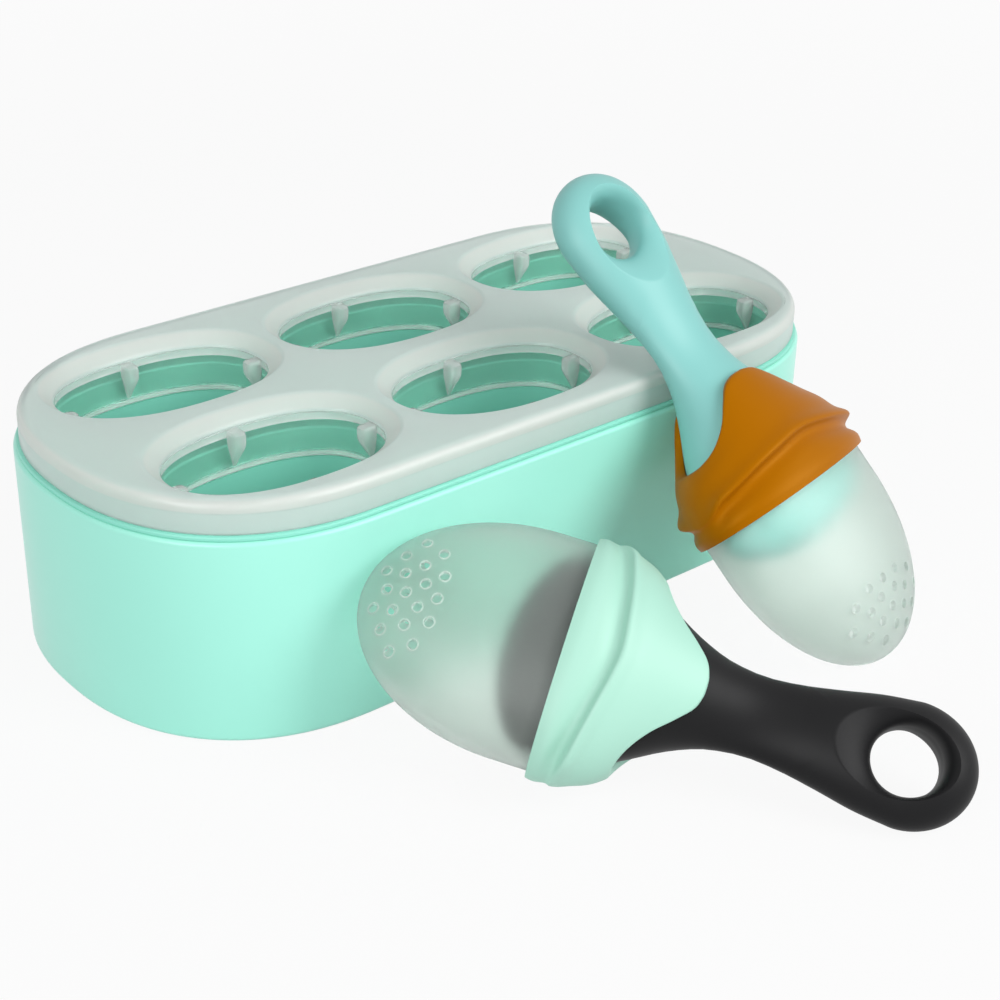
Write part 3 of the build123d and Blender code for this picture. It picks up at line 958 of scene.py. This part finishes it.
def let_light_through(material, share):
    """Lets a share of the light pass straight on to what stands behind a see-through piece."""
    nodes, links = material.node_tree.nodes, material.node_tree.links
    path = nodes.new("ShaderNodeLightPath")
    amount = nodes.new("ShaderNodeMath")
    amount.operation = "MULTIPLY"
    links.new(path.outputs["Is Shadow Ray"], amount.inputs[0])
    amount.inputs[1].default_value = share
    clear = nodes.new("ShaderNodeBsdfTransparent")
    mix = nodes.new("ShaderNodeMixShader")
    links.new(amount.outputs[0], mix.inputs["Fac"])
    links.new(nodes["Principled BSDF"].outputs[0], mix.inputs[1])
    links.new(clear.outputs[0], mix.inputs[2])
    links.new(mix.outputs[0], nodes["Material Output"].inputs["Surface"])


TUB_MINT = moulded(
    "tub_mint", (0.375, 0.855, 0.715), (0.355, 0.835, 0.695), 0.27,
    bump=0.01, cloud=0.3, spread=0.02, IOR=1.46)
CUPS_MINT = moulded("cups_mint", (0.27, 0.74, 0.60), (0.25, 0.71, 0.57), 0.38, spread=0.03, IOR=1.44)
LID_FROSTED = moulded(
    "lid_frosted", (0.72, 0.825, 0.79), (0.70, 0.81, 0.775), 0.32,
    cloud=0.4, spread=0.04, IOR=1.45, Transmission_Weight=0.5)
SLEEVE_CLEAR = moulded(
    "sleeve_clear", (0.72, 0.86, 0.81), (0.70, 0.84, 0.79), 0.10,
    bump=0.0, cloud=0.3, spread=0.02, IOR=1.30, Transmission_Weight=0.93)
# The sleeve's thick band, bead and fins get this whiter, less clear copy of the clear sleeve plastic. Its
# whiteness is painted highlight for the bright lines these thick clear edges catch.
SLEEVE_EDGE = moulded(
    "sleeve_edge", (0.95, 0.99, 0.97), (0.92, 0.98, 0.95), 0.22,
    bump=0.01, cloud=0.4, spread=0.04, IOR=1.40, Transmission_Weight=0.7)
HANDLE_BLACK = moulded(
    "handle_black", (0.007, 0.007, 0.0075), (0.010, 0.010, 0.011), 0.42,
    bump=0.05, Specular_IOR_Level=0.16)
HANDLE_AQUA = moulded(
    "handle_aqua", (0.24, 0.56, 0.53), (0.22, 0.54, 0.51), 0.42,
    bump=0.03, spread=0.04, Specular_IOR_Level=0.4)
COLLAR_MINT = moulded(
    "collar_mint", (0.40, 0.70, 0.575), (0.38, 0.68, 0.555), 0.45,
    bump=0.03, spread=0.04, Specular_IOR_Level=0.4)
COLLAR_OCHRE = moulded(
    "collar_ochre", (0.375, 0.122, 0.0), (0.35, 0.112, 0.0), 0.40,
    bump=0.03, spread=0.04, Specular_IOR_Level=0.3, Specular_Tint=(1.0, 0.55, 0.08, 1))
# The mint tint of the bulbs and their hole rims is painted: it stands in for the mint tub seen through the
# frosted silicone, over the silicone's own pale colour.
BULB_FROSTED = moulded(
    "bulb_frosted", (0.81, 0.88, 0.84), (0.785, 0.86, 0.82), 0.42,
    cloud=0.4, spread=0.04, IOR=1.36, Transmission_Weight=0.94)
BULB_RIM = moulded(
    "bulb_rim", (0.85, 0.91, 0.875), (0.83, 0.895, 0.86), 0.38,
    bump=0.01, cloud=0.4, spread=0.04, IOR=1.36, Transmission_Weight=0.75)

# Painted highlight: the lid's rounded crown, down to the groove under it, is whitened towards this colour.
LID_CROWN_HIGHLIGHT = (0.82, 0.845, 0.81)
LIGHT_SHARES = (
    (LID_FROSTED, 0.4), (SLEEVE_CLEAR, 0.4), (SLEEVE_EDGE, 0.5), (BULB_FROSTED, 0.62), (BULB_RIM, 0.5),
)
paint_edge_highlight(LID_FROSTED, LID_CROWN_HIGHLIGHT, LID_TOP - LID_CROWN - CROWN_FOOT, LID_TOP)
for see_through, light_share in LIGHT_SHARES:
    let_light_through(see_through, light_share)

# ---------------------------------------------------------------- pieces in their places
install(tray_tub(), "tray_tub", TUB_MINT)
install(cup_insert(), "cup_insert", CUPS_MINT)
install(tray_lid(), "tray_lid", LID_FROSTED)
for opening_name, opening_place in OPENINGS.items():
    install(sleeve_wall(opening_place), opening_name + "_sleeve", SLEEVE_CLEAR)
    install(sleeve_edges(opening_place), opening_name + "_sleeve", SLEEVE_EDGE)
for colour, handle_material, collar_slot, collar_material in (
    ("black", HANDLE_BLACK, "collar_mint", COLLAR_MINT),
    ("aqua", HANDLE_AQUA, "collar_ochre", COLLAR_OCHRE),
):
    feeder = colour + "_feeder_"
    install(feeder_handle(colour), feeder + "handle", handle_material)
    install(feeder_collar(colour), feeder + "collar", collar_material)
    install(feeder_bulb(colour), feeder + "bulb", BULB_FROSTED)
    install(hole_rims(colour), feeder + "bulb", BULB_RIM)
    stem = NODES[feeder + "stem"]
    stem.data.materials.clear()
    stem.data.materials.append(handle_material)

# ---------------------------------------------------------------- floor, light and camera
# Places and sizes of the studio are in metres.
FLOOR_HALF = 4.0
FLOOR_PAPER = (0.62, 0.62, 0.62, 1)
FLOOR_GLOW = 0.92
# The floor shows the object's shadow near it and fades to the backdrop's white between two distances.
SHADOW_REACH = (0.35, 1.4)
WHITE = (1, 1, 1, 1)
ROOM_COLOR = (0.97, 0.98, 1.0, 1)
ROOM_STRENGTH = 0.36
LAMP_TARGET = (0, -0.04, 0.03)
LAMPS = {
    "key": {"place": (0.34, -0.8, 0.62), "size": 0.7, "power": 7.4},
    "fill": {"place": (-1.0, -0.5, 0.55), "size": 0.8, "power": 7.2},
}


def light_path_mask(nodes, links):
    """1 for the rays that see the backdrop: straight from the camera, mirrored or through clear pieces."""
    path = nodes.new("ShaderNodeLightPath")
    total = path.outputs["Is Camera Ray"]
    for name in ("Is Glossy Ray", "Is Transmission Ray"):
        add = nodes.new("ShaderNodeMath")
        add.operation = "MAXIMUM"
        links.new(total, add.inputs[0])
        links.new(path.outputs[name], add.inputs[1])
        total = add.outputs[0]
    return total


def studio_floor():
    """A white floor that keeps the object's shadow."""
    bm = bmesh.new()
    bmesh.ops.create_grid(bm, x_segments=2, y_segments=2, size=FLOOR_HALF)
    mesh = bpy.data.meshes.new("floor")
    bm.to_mesh(mesh)
    bm.free()
    floor = bpy.data.objects.new("floor", mesh)
    bpy.context.scene.collection.objects.link(floor)
    material = bpy.data.materials.new("floor_white")
    material.use_nodes = True
    nodes, links = material.node_tree.nodes, material.node_tree.links
    nodes.clear()
    paper = nodes.new("ShaderNodeBsdfDiffuse")
    paper.inputs["Color"].default_value = FLOOR_PAPER
    glow = nodes.new("ShaderNodeEmission")
    glow.inputs["Color"].default_value = WHITE
    seen = nodes.new("ShaderNodeMixShader")
    place = nodes.new("ShaderNodeTexCoord")
    away = nodes.new("ShaderNodeVectorMath")
    away.operation = "LENGTH"
    links.new(place.outputs["Object"], away.inputs[0])
    fade = nodes.new("ShaderNodeMapRange")
    fade.inputs["From Min"].default_value = SHADOW_REACH[0]
    fade.inputs["From Max"].default_value = SHADOW_REACH[1]
    fade.inputs["To Min"].default_value = FLOOR_GLOW
    fade.inputs["To Max"].default_value = 1.0
    links.new(away.outputs["Value"], fade.inputs["Value"])
    links.new(fade.outputs[0], seen.inputs["Fac"])
    links.new(paper.outputs[0], seen.inputs[1])
    links.new(glow.outputs[0], seen.inputs[2])
    mix = nodes.new("ShaderNodeMixShader")
    links.new(light_path_mask(nodes, links), mix.inputs["Fac"])
    links.new(paper.outputs[0], mix.inputs[1])
    links.new(seen.outputs[0], mix.inputs[2])
    output = nodes.new("ShaderNodeOutputMaterial")
    links.new(mix.outputs[0], output.inputs["Surface"])
    mesh.materials.append(material)


def studio_world():
    """Even soft light from all round, behind a white backdrop."""
    world = bpy.data.worlds.new("studio")
    bpy.context.scene.world = world
    world.use_nodes = True
    nodes, links = world.node_tree.nodes, world.node_tree.links
    nodes.clear()
    room = nodes.new("ShaderNodeBackground")
    room.inputs["Color"].default_value = ROOM_COLOR
    room.inputs["Strength"].default_value = ROOM_STRENGTH
    white = nodes.new("ShaderNodeBackground")
    white.inputs["Color"].default_value = WHITE
    white.inputs["Strength"].default_value = 1.0
    mix = nodes.new("ShaderNodeMixShader")
    links.new(light_path_mask(nodes, links), mix.inputs["Fac"])
    links.new(room.outputs[0], mix.inputs[1])
    links.new(white.outputs[0], mix.inputs[2])
    output = nodes.new("ShaderNodeOutputWorld")
    links.new(mix.outputs[0], output.inputs["Surface"])


def soft_lamp(name, place, size, power):
    """A round soft lamp that faces the object."""
    data = bpy.data.lights.new(name, "AREA")
    data.shape = "DISK"
    data.size = size
    data.energy = power
    lamp = bpy.data.objects.new(name, data)
    lamp.location = place
    lamp.rotation_euler = (Vector(LAMP_TARGET) - Vector(place)).to_track_quat("-Z", "Y").to_euler()
    bpy.context.scene.collection.objects.link(lamp)


# Place in metres, turns in radians, lens in millimetres.
CAMERA_PLACE = Vector((-0.284464, -0.353711, 0.255786))
CAMERA_YAW = 0.718
CAMERA_PITCH = 0.488
CAMERA_ROLL = 0.024
CAMERA_LENS = 68.17
CAMERA_CLIP = 0.01


def set_camera():
    """The camera, from its yaw, its pitch downwards and its roll."""
    data = bpy.data.cameras.new("camera")
    data.lens = CAMERA_LENS
    data.clip_start = CAMERA_CLIP
    camera = bpy.data.objects.new("camera", data)
    bpy.context.scene.collection.objects.link(camera)
    forward = Vector((
        math.sin(CAMERA_YAW) * math.cos(CAMERA_PITCH),
        math.cos(CAMERA_YAW) * math.cos(CAMERA_PITCH),
        -math.sin(CAMERA_PITCH)))
    level = Vector((math.cos(CAMERA_YAW), -math.sin(CAMERA_YAW), 0))
    upright = level.cross(forward)
    right = level * math.cos(CAMERA_ROLL) + upright * math.sin(CAMERA_ROLL)
    up = upright * math.cos(CAMERA_ROLL) - level * math.sin(CAMERA_ROLL)
    turn = Matrix((right, up, -forward)).transposed().to_4x4()
    camera.matrix_world = Matrix.Translation(CAMERA_PLACE) @ turn
    bpy.context.scene.camera = camera


studio_floor()
studio_world()
for lamp_name, lamp_values in LAMPS.items():
    soft_lamp(lamp_name, **lamp_values)
set_camera()
bpy.context.scene.view_settings.view_transform = "Standard"
